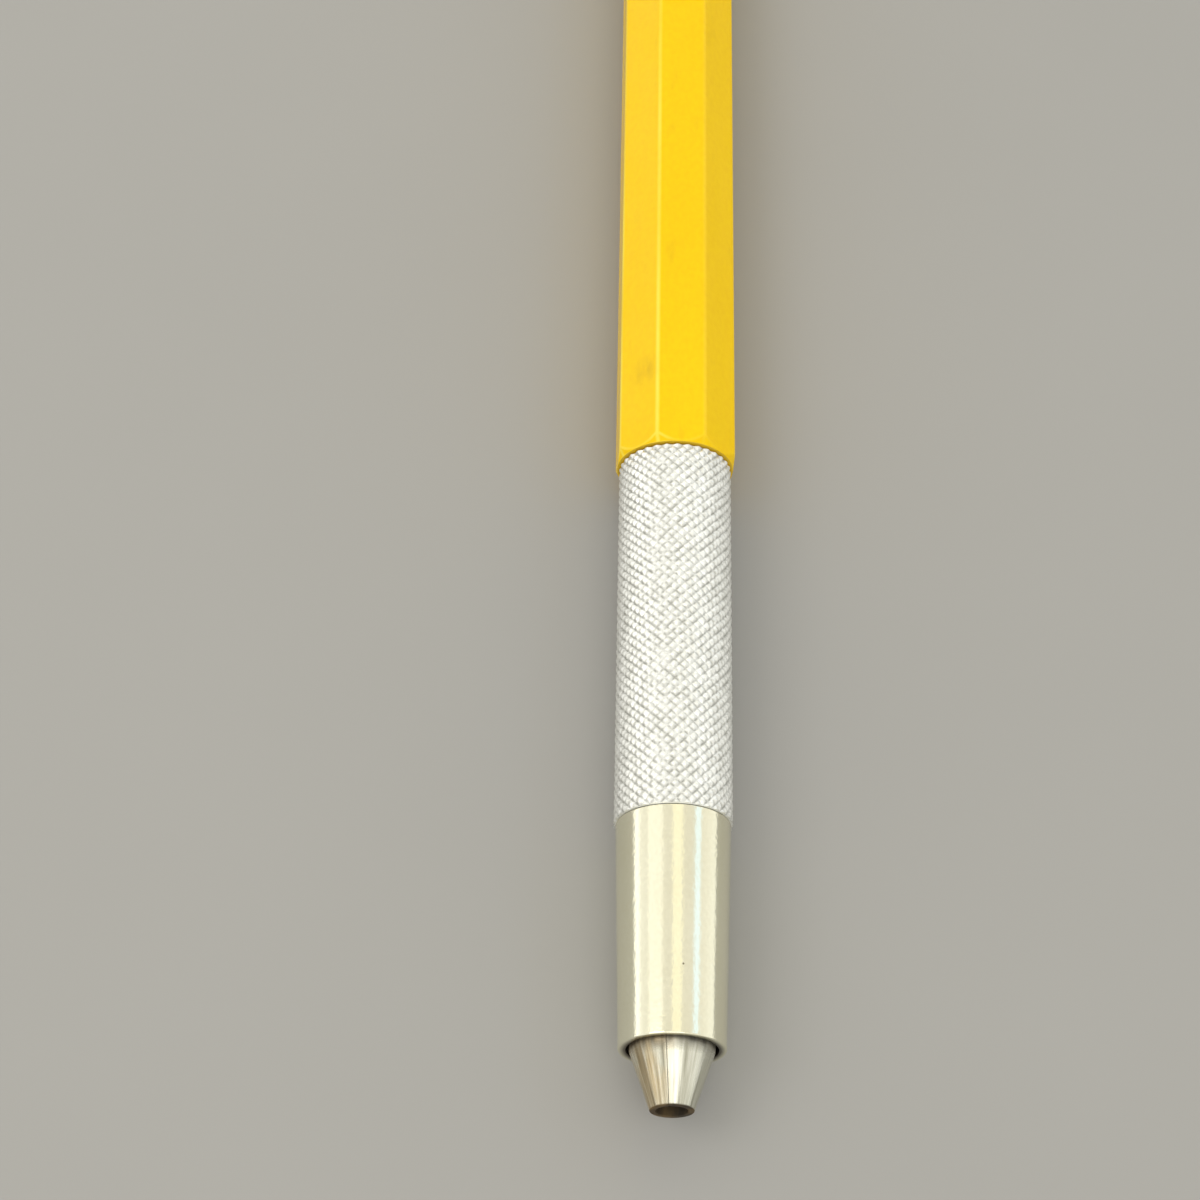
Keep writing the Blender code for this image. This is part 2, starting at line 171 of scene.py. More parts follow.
# Profiles list radius, station and the ease of the corner, down the outer side from rear to front and
# back along the bore
NOSE = [(NOSE_END_RS[1] - NOSE_CHAMFER, NOSE_ENDS[1], 0.02),
        (NOSE_END_RS[1], NOSE_ENDS[1] - NOSE_CHAMFER, 0.03), (NOSE_END_RS[0], NOSE_ENDS[0], 0.1),
        (MOUTH_R, NOSE_ENDS[0], 0.05), (MOUTH_R, SEAT_FRONT, 0.03), (seat_r, SEAT_FRONT, 0.03),
        (THROAT_R, throat_front, 0.03), (THROAT_R, throat_rear, 0.03),
        (CHAMBER_R, throat_rear + CHAMBER_R - THROAT_R, 0.03), (CHAMBER_R, SOCKET_FLOOR, 0.03),
        (SOCKET_R, SOCKET_FLOOR, 0.03), (SOCKET_R, NOSE_ENDS[1], 0.03)]
CORE = [(3.2, 57.2, 0.05), (3.2, GRIP_ENDS[1], 0.02), (3.3, GRIP_ENDS[1], 0.02),
        (3.3, GRIP_ENDS[0], 0.02), (3.0, GRIP_ENDS[0], 0.02), (3.0, 12.5, 0.1), (2.4, 12.5, 0.05),
        (2.4, 21.0, 0.02), (2.8, 21.0, 0.02), (2.8, 57.2, 0.05)]
SEAT_RING = [(2.75, 22.5, 0.05), (2.75, 21.1, 0.05), (2.1, 21.1, 0.05), (2.1, 22.5, 0.05)]
COLLAR = [(2.65, 45.1, 0.1), (2.65, 43.1, 0.1), (2.05, 43.1, 0.05), (2.05, 45.1, 0.05)]
LEAD_TUBE = [(2.0, 143.1, 0.05), (2.0, 19.1, 0.05), (1.6, 19.1, 0.05), (1.6, 143.1, 0.05)]
COLLET_BODY = [(1.55, 23.1, 0.05), (1.55, 19.0, 0.02), (FINGER_R, 19.0, 0.05), (FINGER_R, 17.1, 0.02),
               (COLLET_BORE_R, 17.1, 0.02), (COLLET_BORE_R, 23.1, 0.05)]
FERRULE = [(2.8, 139.2, 0.08), (3.9, 139.2, 0.45), (3.9, 136.8, 0.05), (3.3, 136.8, 0.05),
           (3.3, 127.4, 0.05), (2.8, 127.4, 0.05)]
BUTTON = [(0.0, 148.2, 0.0), (2.7, 148.2, 0.85), (2.7, 131.2, 0.05), (2.05, 131.2, 0.05),
          (2.05, 143.2, 0.05), (0.0, 143.2, 0.0)]
LEAD = [(0.0, 123.1, 0.0), (1.0, 123.1, 0.1), (1.0, 3.3, 0.05), (0.7, 3.0, 0.1), (0.0, 3.0, 0.0)]
JAW = [(FINGER_R, JAW_LENGTH, 0.03), (FINGER_R, head_rear, 0.1), (HEAD_R, HEAD_ENDS[1], 0.08),
       (HEAD_R, HEAD_ENDS[0], 0.12), (TIP_R, 0.0, 0.08), (CLAMP_R, 0.0, 0.05),
       (CLAMP_R, CLAMP_LENGTH, 0.03), (COLLET_BORE_R, CLAMP_LENGTH + COLLET_BORE_R - CLAMP_R, 0.03),
       (COLLET_BORE_R, JAW_LENGTH, 0.03)]


def clear_scene():
    for thing in list(bpy.data.objects):
        bpy.data.objects.remove(thing, do_unlink=True)


# Shapes

def place(radius, angle, station):
    """Points from a radius about the pencil's axis, an angle round it and a station along it."""
    radius, angle, station = np.broadcast_arrays(radius, angle, station)
    across, height = radius * MM * np.cos(angle), radius * MM * np.sin(angle)
    return np.stack([across, tip_y + station * MM, axis_z + height], -1)


def eased(corners, trims, steps=4):
    """Closed profile with its corners rounded. A corner C becomes the parabola from A to B, the points one
    trim away from C on its two sides, or 0.4 of a side if that is less. A guard point a little further out
    on each side keeps the shading of the side flat. Corners have the shape (corner, column, 2)."""
    def unit(side):
        length = np.linalg.norm(side, axis=-1, keepdims=True)
        return side / length, length
    back, back_length = unit(np.roll(corners, 1, 0) - corners)
    ahead, ahead_length = unit(np.roll(corners, -1, 0) - corners)
    trims = trims[:, None, None]
    start = corners + back * np.minimum(trims, 0.4 * back_length)
    end = corners + ahead * np.minimum(trims, 0.4 * ahead_length)
    guard_back = corners + back * np.minimum(1.3 * trims, 0.45 * back_length)
    guard_ahead = corners + ahead * np.minimum(1.3 * trims, 0.45 * ahead_length)
    t = np.linspace(0, 1, steps + 1)[None, :, None, None]
    curve = (1 - t) ** 2 * start[:, None] + 2 * t * (1 - t) * corners[:, None] + t ** 2 * end[:, None]
    return np.concatenate([guard_back[:, None], curve, guard_ahead[:, None]], axis=1)


def grid_faces(rows, columns, closed_rows=True, closed_columns=True):
    """Four-sided faces between neighbouring points of a grid numbered row by row. A closed direction joins
    its last line to its first."""
    row = np.arange(rows if closed_rows else rows - 1)[:, None]
    column = np.arange(columns if closed_columns else columns - 1)[None, :]
    next_row, next_column = (row + 1) % rows, (column + 1) % columns
    corners = [row * columns + column, row * columns + next_column,
               next_row * columns + next_column, next_row * columns + column]
    return np.stack(corners, -1).reshape(-1, 4)


def enclosed_volume(points, faces):
    """Signed volume of a closed surface: the sum of the tetrahedra between the origin and its triangles."""
    total = 0.0
    for group in faces:
        for k in range(1, group.shape[1] - 1):
            a, b, c = points[group[:, 0]], points[group[:, k]], points[group[:, k + 1]]
            total += np.einsum("ij,ij->", a, np.cross(b, c)) / 6
    return total


def add_piece(node, points, faces, finish, sharp=35):
    """Mesh at the origin that stands for one CAD node and rides on its body. Faces are index arrays, and
    all are reversed if they enclose a negative volume."""
    points = points.reshape(-1, 3)
    if enclosed_volume(points, faces) < 0:
        faces = [group[:, ::-1] for group in faces]
    mesh = bpy.data.meshes.new(f"{node}_look")
    mesh.from_pydata(points.tolist(), [], [face for group in faces for face in group.tolist()])
    mesh.shade_smooth()
    mesh.set_sharp_from_angle(angle=radians(sharp))
    mesh.materials.append(finish)
    piece = bpy.data.objects.new(f"{node}_look", mesh)
    bpy.context.scene.collection.objects.link(piece)
    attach(piece, frame["nodes"][node]["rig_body"])
    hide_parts(node)
    return piece


def mark(piece, name, values):
    """Value at every point of a piece, kept under a name that its finish can read."""
    kept = piece.data.attributes.new(name, "FLOAT", "POINT")
    kept.data.foreach_set("value", np.ravel(values).astype(np.float32))


def turned(node, profile, finish):
    """Profile carried round the pencil's axis. A profile that starts on the axis is closed there by fans
    of triangles, and any other runs back to its start through the bore."""
    listed = np.array(profile)
    angle = np.arange(TURN_COLUMNS) * 2 * pi / TURN_COLUMNS
    rows = eased(listed[:, None, :2], listed[:, 2])
    solid = listed[0, 0] == 0.0
    rows = (rows[1:-1] if solid else rows).reshape(-1, 1, 2)
    points = place(rows[..., 0], angle[None, :], rows[..., 1]).reshape(-1, 3)
    faces = [grid_faces(len(rows), TURN_COLUMNS, closed_rows=not solid)]
    if solid:
        count = len(points)
        poles = place(listed[[0, -1], 0], 0.0, listed[[0, -1], 1])
        points = np.concatenate([points, poles])
        first = np.arange(TURN_COLUMNS)
        after = (first + 1) % TURN_COLUMNS
        last = (len(rows) - 1) * TURN_COLUMNS
        faces.append(np.stack([after, first, np.full_like(first, count)], -1))
        faces.append(np.stack([last + first, last + after, np.full_like(first, count + 1)], -1))
    add_piece(node, points, faces, finish)


def octagon(flat, edge_round, arc_points=9, flat_points=17):
    """Angle and radius of points round an eight-sided outline, and their closeness to a ridge. Each ridge
    is an arc of the edge radius about a centre on the ridge's direction, and a row of points lies on each
    flat between two arcs."""
    ridge = ((np.arange(8) + 0.5) * pi / 4)[:, None]
    facing = ridge + np.linspace(-pi / 8, pi / 8, arc_points)[None, :]
    centre = (flat - edge_round) / cos(pi / 8)
    arcs = np.stack([centre * np.cos(ridge) + edge_round * np.cos(facing),
                     centre * np.sin(ridge) + edge_round * np.sin(facing)], -1)
    share = np.linspace(0, 1, flat_points + 2)[None, 1:-1, None]
    flats = arcs[:, -1:] * (1 - share) + np.roll(arcs, -1, 0)[:, :1] * share
    outline = np.concatenate([arcs, flats], axis=1).reshape(-1, 2)
    close = np.tile(np.append(np.sin(np.linspace(0, pi, arc_points)), np.zeros(flat_points)), 8)
    return np.arctan2(outline[:, 1], outline[:, 0]), np.hypot(outline[:, 0], outline[:, 1]), close


def make_barrel(finish):
    """Eight-sided outline drawn out along the axis. Each column round the outline has its own profile: at
    both ends a cone climbs from the end face until it meets the outline, later at a ridge than on a flat,
    and a stepped bore runs back inside."""
    angle, outer, ridge = octagon(BARREL_FLAT_R, BARREL_EDGE_ROUND)
    front, rear = BARREL_ENDS
    climb = (outer - BARREL_END_R) / tan(BARREL_CHAMFER_ANGLE)
    same = np.ones_like(outer)
    front_bore, front_stop = BARREL_FRONT_BORE
    rear_bore, rear_stop = BARREL_REAR_BORE
    corners = [(rear_bore, rear, 0.05), (BARREL_END_R, rear, 0.05), (outer, rear - climb, 0.12),
               (outer, front + climb, 0.12), (BARREL_END_R, front, 0.05), (front_bore, front, 0.05),
               (front_bore, front_stop, 0.02), (BARREL_BORE_R, front_stop, 0.02),
               (BARREL_BORE_R, rear_stop, 0.02), (rear_bore, rear_stop, 0.02)]
    profile = np.array([(same * radius, same * station) for radius, station, _ in corners])
    rows = eased(profile.transpose(0, 2, 1), np.array([trim for _, _, trim in corners]))
    # Paler edges, partly wear and partly a painted highlight, are full along the ridges, and along the
    # edges of the chamfers they are least on the flats
    wear_and_painted_light = np.zeros(rows.shape[:3])
    corner = (outer - outer.min()) / np.ptp(outer)
    wear_and_painted_light[1:5] = np.sin(np.linspace(0, pi, rows.shape[1]))[None, :, None] * (0.25 + 0.75 * corner)
    wear_and_painted_light[1:5] = np.maximum(wear_and_painted_light[1:5], ridge)
    # Painted shade darkens the end faces and the bore, but not the chamfers and the outline between them
    end_shade = np.ones(rows.shape[:3])
    end_shade[2:4] = 0.0
    end_shade[1, -3:] = 0.0
    end_shade[4, :3] = 0.0
    rows = rows.reshape(-1, len(angle), 2)
    points = place(rows[..., 0], angle[None, :], rows[..., 1])
    piece = add_piece("barrel", points, [grid_faces(len(rows), len(angle))], finish)
    mark(piece, "edge", wear_and_painted_light)
    mark(piece, "end_shade", end_shade)


def make_grip(finish, bore_rings=24):
    """Sleeve with a diamond knurl. The lattice's columns follow the helices of one hand, and its cells are
    split along those of the other, so that lattice lines of both hands run along the grooves. Between two
    grooves the depth falls and rises again by a row of shares, and the deeper of the two hands holds.
    The rows go on through plain rings at the ends and back along the bore."""
    lines = len(KNURL_SLOPE)
    columns = KNURL_STARTS * lines
    steep, shallow = KNURL_PITCHES
    rise = steep * shallow / (steep + shallow) / lines
    start, end = KNURL_ENDS
    row = np.arange(int((end - start) / rise) + 1)[:, None]
    column = np.arange(columns)[None, :]
    depth = np.array(KNURL_SLOPE)
    groove = np.maximum(depth[column % lines], depth[(row + column) % lines])
    station = start + row[:, 0] * rise
    front, rear = GRIP_ENDS
    before = np.array([(GRIP_BORE_R, front), (GRIP_FRONT_R - GRIP_FRONT_EDGE, front),
                       (GRIP_FRONT_R, front + 0.75 * GRIP_FRONT_EDGE), (GRIP_FRONT_R, start - RING_GAP)])
    after = np.array([(GRIP_REAR_RS[0], end + RING_GAP), (GRIP_REAR_RS[1], rear), (GRIP_BORE_R, rear)])
    bore = np.linspace(rear, front, bore_rings)[1:-1]
    after = np.concatenate([after, np.stack([np.full_like(bore, GRIP_BORE_R), bore], -1)])
    ones = np.ones((1, columns))
    radius = np.concatenate([before[:, :1] * ones, GRIP_R - KNURL_DEPTH * groove, after[:, :1] * ones])
    station = np.concatenate([before[:, 1], station, after[:, 1]])
    twist = (np.clip(station, start, end) - start) / shallow
    angle = (column / lines + twist[:, None]) * 2 * pi / KNURL_STARTS
    points = place(radius, angle, station[:, None])
    faces = lattice_faces(len(station), columns)
    piece = add_piece("grip_sleeve", points, faces, finish, sharp=25)
    plain = [np.zeros((len(rings), columns)) for rings in (before, after)]
    mark(piece, "groove", np.concatenate([plain[0], groove, plain[1]]))


def lattice_faces(rows, columns):
    """Triangles of a closed grid, with each cell split from its next column to its next row."""
    quads = grid_faces(rows, columns)
    return [quads[:, [0, 1, 3]], quads[:, [1, 2, 3]]]


def make_jaw(number, finish):
    """Third of the split collet. The profile is carried round from one saw cut to the next. A cut's face is
    flat, half a slit from the plane through the axis, so the swept angle shrinks by the arc sine of half a
    slit over the radius. Close to the faces the profile draws in along its normals, which eases the
    edges."""
    share = pi / JAW_COUNT
    middle = SLIT_ANGLE + share * (2 * number - 1)
    listed = np.array(JAW)
    rows = eased(listed[:, None, :2], listed[:, 2]).reshape(-1, 1, 2)
    along = np.roll(rows, -1, 0) - np.roll(rows, 1, 0)
    inward = np.stack([along[..., 1], -along[..., 0]], -1)
    inward /= np.linalg.norm(inward, axis=-1, keepdims=True)
    across = np.sin(np.linspace(-pi / 2, pi / 2, JAW_COLUMNS))[None, :]
    ease = JAW_EDGE * np.clip((np.abs(across) - 1) / JAW_EDGE_SHARE + 1, 0, 1) ** 2
    profile = rows + inward * ease[..., None]
    reach = share - np.arcsin(SLIT_WIDTH / 2 / profile[..., 0])
    points = place(profile[..., 0], middle + across * reach, profile[..., 1])
    count, columns = points.shape[:2]
    faces = [grid_faces(count, columns, closed_columns=False)]
    ring = np.arange(count) * columns
    faces += [ring[None, :], (ring + columns - 1)[None, ::-1]]
    add_piece(f"collet_jaw_{number}", points, faces, finish)


def make_spring(finish):
    """Round wire carried along a helix about the lead tube. The wire's circle lies across the helix,
    between the direction away from the axis and the one square to that and to the path."""
    steps, around = 40 * SPRING_TURNS, 14
    turn = np.linspace(0, 2 * pi * SPRING_TURNS, steps + 1)[:, None]
    front, rear = SPRING_ENDS[0] + WIRE_R, SPRING_ENDS[1] - WIRE_R
    climb = (rear - front) / (2 * pi * SPRING_TURNS)
    lean = np.arctan2(climb, COIL_R)
    circle = (np.arange(around) * 2 * pi / around)[None, :]
    out, up = WIRE_R * np.cos(circle), WIRE_R * np.sin(circle)
    radius = np.hypot(COIL_R + out, up * sin(lean))
    angle = -turn + np.arctan2(up * sin(lean), COIL_R + out)
    points = place(radius, angle, front + climb * turn + up * cos(lean))
    faces = [grid_faces(steps + 1, around, closed_rows=False)]
    end = np.arange(around)
    faces += [end[None, ::-1], (steps * around + end)[None, :]]
    piece = add_piece("return_spring", points, faces, finish)
    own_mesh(piece)


# Finishes

def new_finish(name, metallic, ior=1.5):
    material = bpy.data.materials.new(name)
    material.use_nodes = True
    shader = material.node_tree.nodes["Principled BSDF"]
    shader.inputs["Metallic"].default_value = metallic
    shader.inputs["IOR"].default_value = ior
    return material, material.node_tree, shader


def noise(tree, vector, scale, detail=4.0, seed=0.0):
    """Noise over a vector. The three scales are features per unit of its parts."""
    mapping = tree.nodes.new("ShaderNodeMapping")
    mapping.inputs["Scale"].default_value = scale
    mapping.inputs["Location"].default_value = (seed, seed, seed)
    texture = tree.nodes.new("ShaderNodeTexNoise")
    texture.inputs["Scale"].default_value = 1.0
    texture.inputs["Detail"].default_value = detail
    tree.links.new(vector, mapping.inputs["Vector"])
    tree.links.new(mapping.outputs["Vector"], texture.inputs["Vector"])
    return texture.outputs["Fac"]


def grain(tree, scale, detail=4.0, seed=0.0):
    """Noise over the object's own metres."""
    where = tree.nodes.new("ShaderNodeTexCoord")
    return noise(tree, where.outputs["Object"], scale, detail, seed)


def place_of(tree, axis):
    """Coordinate along one axis, in the object's own metres."""
    where = tree.nodes.new("ShaderNodeTexCoord")
    parts = tree.nodes.new("ShaderNodeSeparateXYZ")
    tree.links.new(where.outputs["Object"], parts.inputs["Vector"])
    return parts.outputs[axis]


def from_axis(tree):
    """Distance from the pencil's axis, angle round it and place along it."""
    across, along = place_of(tree, "X"), place_of(tree, "Y")
    height = calculate(tree, "SUBTRACT", place_of(tree, "Z"), axis_z)
    squares = calculate(tree, "ADD", calculate(tree, "POWER", across, 2.0),
                        calculate(tree, "POWER", height, 2.0))
    return calculate(tree, "SQRT", squares), calculate(tree, "ARCTAN2", across, height), along


def near(tree, point, reach):
    """One close to a point, falling to zero between two distances from it. The point is given across, by
    its station and above the axis."""
    across, station, height = point
    where = tree.nodes.new("ShaderNodeTexCoord")
    gap = tree.nodes.new("ShaderNodeVectorMath")
    gap.operation = "DISTANCE"
    tree.links.new(where.outputs["Object"], gap.inputs[0])
    gap.inputs[1].default_value = (across * MM, tip_y + station * MM, axis_z + height * MM)
    return spread(tree, gap.outputs["Value"], *metres(reach), 1.0, 0.0)


def attribute(tree, name):
    node = tree.nodes.new("ShaderNodeAttribute")
    node.attribute_name = name
    return node.outputs["Fac"]


def blend_colours(tree, factor, *stops):
    """Colour ramp through stops of (position, colour)."""
    ramp = tree.nodes.new("ShaderNodeValToRGB")
    elements = ramp.color_ramp.elements
    while len(elements) < len(stops):
        elements.new(0.5)
    for element, (position, colour) in zip(elements, stops):
        element.position = position
        element.color = (*colour, 1.0)
    tree.links.new(factor, ramp.inputs["Fac"])
    return ramp.outputs["Color"]


def metres(ends, origin=0.0):
    """Pair of places in metres, from distances to an origin in millimetres."""
    return [origin + end * MM for end in ends]


def spread(tree, value, low, high, new_low, new_high):
    """Value carried from one range to another and held at its ends."""
    node = tree.nodes.new("ShaderNodeMapRange")
    for socket, number in zip(("From Min", "From Max", "To Min", "To Max"), (low, high, new_low, new_high)):
        node.inputs[socket].default_value = number
    tree.links.new(value, node.inputs["Value"])
    return node.outputs["Result"]


def mix_colours(tree, factor, first, second):
    node = tree.nodes.new("ShaderNodeMix")
    node.data_type = "RGBA"
    tree.links.new(factor, node.inputs[0])
    tree.links.new(first, node.inputs[6])
    tree.links.new(second, node.inputs[7])
    return node.outputs[2]


def calculate(tree, operation, first, second=None):
    """Sum of two values, or another operation on one or two. The second may be a plain number."""
    node = tree.nodes.new("ShaderNodeMath")
    node.operation = operation
    tree.links.new(first, node.inputs[0])
    if isinstance(second, (int, float)):
        node.inputs[1].default_value = second
    elif second is not None:
        tree.links.new(second, node.inputs[1])
    return node.outputs["Value"]


def raised(tree, shader, *layers):
    """Bumps on top of one another, each a height and its depth, ending at the shader's normal."""
    below = None
    for height, depth in layers:
        node = tree.nodes.new("ShaderNodeBump")
        node.inputs["Distance"].default_value = depth * MM
        tree.links.new(height, node.inputs["Height"])
        if below is not None:
            tree.links.new(below, node.inputs["Normal"])
        below = node.outputs["Normal"]
    tree.links.new(below, shader.inputs["Normal"])


def lacquer_finish():
    """Glossy yellow paint with a slight orange peel, a fine speckle and soft clouds of tone, worn paler
    along the edges, which also paints a highlight there, most of all towards -X and the grip. It is rubbed
    darker in a few places and smudged in one. Painted shade makes the end faces and the bore darker and
    browner."""
    material, tree, shader = new_finish("yellow_lacquer_look", 0.0)
    shader.inputs["Specular IOR Level"].default_value = 0.17
    clouds = grain(tree, (160, 60, 160), detail=5)
    colour = blend_colours(tree, clouds, (0.3, (0.91, 0.585, 0.0005)), (0.7, (0.94, 0.62, 0.001)))
    speckle = spread(tree, grain(tree, (2600, 1900, 2600), detail=2, seed=5.5), 0.35, 0.7, 0.0, 0.5)
    deep = blend_colours(tree, clouds, (0.3, (0.86, 0.52, 0.0005)), (0.7, (0.89, 0.55, 0.001)))
    colour = mix_colours(tree, speckle, colour, deep)
    # Painted highlight: paler paint along the ridges and chamfer edges, partly wear, strongest towards -X
    # and the grip
    edge = attribute(tree, "edge")
    uneven = grain(tree, (500, 110, 500), detail=4, seed=9.2)
    edge_wear_and_highlight = calculate(tree, "MULTIPLY", edge, spread(tree, uneven, 0.3, 0.62, 0.35, 0.95))
    sideways = spread(tree, place_of(tree, "X"), *metres(HIGHLIGHT_ACROSS), 1.0, 0.12)
    backwards = spread(tree, place_of(tree, "Y"), *metres(HIGHLIGHT_STATIONS, tip_y), 1.0, 0.45)
    edge_wear_and_highlight = calculate(tree, "MULTIPLY", calculate(tree, "MULTIPLY", edge_wear_and_highlight, sideways), backwards)
    pale = blend_colours(tree, clouds, (0.3, (0.96, 0.79, 0.1)), (0.7, (0.98, 0.85, 0.13)))
    colour = mix_colours(tree, edge_wear_and_highlight, colour, pale)
    rubbed = spread(tree, grain(tree, (700, 250, 700), detail=3, seed=3.1), 0.64, 0.78, 0.0, 0.26)
    patchy = spread(tree, grain(tree, (1500, 600, 1500), detail=4, seed=6.6), 0.36, 0.62, 0.08, 0.55)
    smudge = calculate(tree, "MULTIPLY", near(tree, SMUDGE_PLACE, SMUDGE_REACH), patchy)
    rubbed = calculate(tree, "MAXIMUM", rubbed, smudge)
    worn = blend_colours(tree, clouds, (0.3, (0.6, 0.34, 0.01)), (0.7, (0.68, 0.4, 0.01)))
    colour = mix_colours(tree, rubbed, colour, worn)
    # Painted shade: the end faces and the bore get a darker, browner yellow
    end_shade_colour = blend_colours(tree, clouds, (0.3, (0.64, 0.41, 0.02)), (0.7, (0.78, 0.52, 0.035)))
    tree.links.new(mix_colours(tree, attribute(tree, "end_shade"), colour, end_shade_colour), shader.inputs["Base Color"])
    sheen = grain(tree, (900, 300, 900), detail=3, seed=7.7)
    tree.links.new(spread(tree, sheen, 0.3, 0.7, 0.14, 0.26), shader.inputs["Roughness"])
    raised(tree, shader, (grain(tree, (420, 160, 420), detail=2), 0.02),
           (grain(tree, (3200, 2600, 3200), detail=2, seed=1.9), 0.004))
    return material


def knurl_finish():
    """Satin aluminium with a whitish bloom, rubbed bright on the diamonds, and darker in the grooves from
    dirt and painted shade.
    """
    material, tree, shader = new_finish("grip_aluminium_look", 0.88)
    tone = grain(tree, (500, 500, 500), detail=5)
    bright = blend_colours(tree, tone, (0.3, (0.92, 0.925, 0.895)), (0.7, (0.95, 0.955, 0.93)))
    # Dirt and painted shade darken the grooves
    dirt_and_shade = grain(tree, (2300, 2300, 2300), detail=4, seed=2.7)
    dull = blend_colours(tree, dirt_and_shade, (0.4, (0.5, 0.505, 0.475)), (0.58, (0.86, 0.87, 0.85)))
    tree.links.new(mix_colours(tree, attribute(tree, "groove"), bright, dull), shader.inputs["Base Color"])
    fine = grain(tree, (2600, 2600, 2600), detail=3, seed=5.3)
    tree.links.new(spread(tree, fine, 0.3, 0.7, 0.34, 0.5), shader.inputs["Roughness"])
    raised(tree, shader, (fine, 0.01))
    return material


def nickel_finish():
    """Polished nickel with faint turning lines round it, a fine mottle, a few small pits, and painted shade
    in the nose's mouth."""
    material, tree, shader = new_finish("polished_nickel_look", 1.0)
    tone = grain(tree, (260, 120, 260), detail=6)
    mottle = grain(tree, (4600, 3200, 4600), detail=3, seed=8.4)
    shade = calculate(tree, "ADD", calculate(tree, "MULTIPLY", tone, 0.55),
                      calculate(tree, "MULTIPLY", mottle, 0.45))
    colour = blend_colours(tree, shade, (0.38, (0.91, 0.885, 0.69)), (0.62, (0.96, 0.94, 0.76)))
    pit_colour = blend_colours(tree, tone, (0.3, (0.2, 0.17, 0.1)), (0.7, (0.3, 0.26, 0.18)))
    colour = mix_colours(tree, pit_marks(tree), colour, pit_colour)
    radius, _, along = from_axis(tree)
    # Painted shade darkens the inside of the nose's mouth
    mouth = calculate(tree, "MULTIPLY", spread(tree, radius, *metres(MOUTH_SHADE_RADII), 1.0, 0.0),
                      spread(tree, along, *metres(MOUTH_SHADE_STATIONS, tip_y), 1.0, 0.0))
    mouth_shade_colour = blend_colours(tree, tone, (0.3, (0.06, 0.05, 0.03)), (0.7, (0.16, 0.13, 0.08)))
    tree.links.new(mix_colours(tree, mouth, colour, mouth_shade_colour), shader.inputs["Base Color"])
    lines = grain(tree, (90, 9000, 90), detail=3, seed=2.2)
    tree.links.new(spread(tree, lines, 0.3, 0.7, 0.1, 0.18), shader.inputs["Roughness"])
    raised(tree, shader, (mottle, 0.01), (lines, 0.001))
    return material


def pit_marks(tree):
    """One close to the points of a cell pattern, few of which lie near the surface, and zero elsewhere."""
    where = tree.nodes.new("ShaderNodeTexCoord")
    cells = tree.nodes.new("ShaderNodeTexVoronoi")
    cells.inputs["Scale"].default_value = 330.0
    tree.links.new(where.outputs["Object"], cells.inputs["Vector"])
    return spread(tree, cells.outputs["Distance"], 0.014, 0.026, 1.0, 0.0)


def collet_finish():
    """Nickel worn by use: streaks along the jaws, brass that shows through towards -X and also paints shade
    there, dull graphite dust in the bore and on the end face, and painted shade under the nose's lip."""
    material, tree, shader = new_finish("collet_nickel_look", 1.0)
    radius, angle, along = from_axis(tree)
    polar = tree.nodes.new("ShaderNodeCombineXYZ")
    tree.links.new(angle, polar.inputs["X"])
    tree.links.new(along, polar.inputs["Y"])
    streaks = noise(tree, polar.outputs["Vector"], (11.0, 260.0, 1.0), detail=5)
    nickel = blend_colours(tree, streaks, (0.28, (0.42, 0.425, 0.35)), (0.5, (0.68, 0.685, 0.59)),
                           (0.7, (0.85, 0.855, 0.77)))
    brass = blend_colours(tree, streaks, (0.3, (0.42, 0.33, 0.19)), (0.5, (0.66, 0.55, 0.36)),
                          (0.7, (0.86, 0.77, 0.58)))
    patches = grain(tree, (900, 300, 900), detail=4, seed=4.6)
    # Brass shows through towards -X, and there it also stands for painted shade, darker and browner
    side = spread(tree, place_of(tree, "X"), *metres(BRASS_AND_SHADE_ACROSS), 1.0, 0.08)
    wear_and_painted_light = calculate(tree, "MULTIPLY", spread(tree, patches, 0.3, 0.5, 0.2, 1.0), side)
    worn = mix_colours(tree, wear_and_painted_light, nickel, brass)
    in_bore = spread(tree, radius, *metres(BORE_DUST_RADII), 1.0, 0.0)
    at_end = spread(tree, along, *metres(END_DUST_STATIONS, tip_y), 1.0, 0.0)
    # Painted shade under the nose's lip, in the dust's colour
    high_up = spread(tree, along, *metres(LIP_SHADE_STATIONS, tip_y), 0.0, 1.0)
    under_lip = calculate(tree, "MULTIPLY", high_up, spread(tree, patches, 0.35, 0.6, 0.95, 0.5))
    dust_and_shade = calculate(tree, "MAXIMUM", calculate(tree, "MAXIMUM", in_bore, at_end), under_lip)
    # Colour of the dust and of the painted shade, browner towards -X
    dark = blend_colours(tree, patches, (0.4, (0.03, 0.022, 0.012)), (0.6, (0.09, 0.06, 0.025)))
    brown = blend_colours(tree, patches, (0.4, (0.06, 0.038, 0.014)), (0.6, (0.15, 0.098, 0.036)))
    dust = mix_colours(tree, side, dark, brown)
    tree.links.new(mix_colours(tree, dust_and_shade, worn, dust), shader.inputs["Base Color"])
    tree.links.new(spread(tree, dust_and_shade, 0.0, 1.0, 1.0, 0.0), shader.inputs["Metallic"])
    rough = calculate(tree, "MAXIMUM", spread(tree, streaks, 0.3, 0.7, 0.14, 0.3),
                      spread(tree, dust_and_shade, 0.2, 1.0, 0.0, 0.75))
    tree.links.new(rough, shader.inputs["Roughness"])
    raised(tree, shader, (streaks, 0.008))
    return material


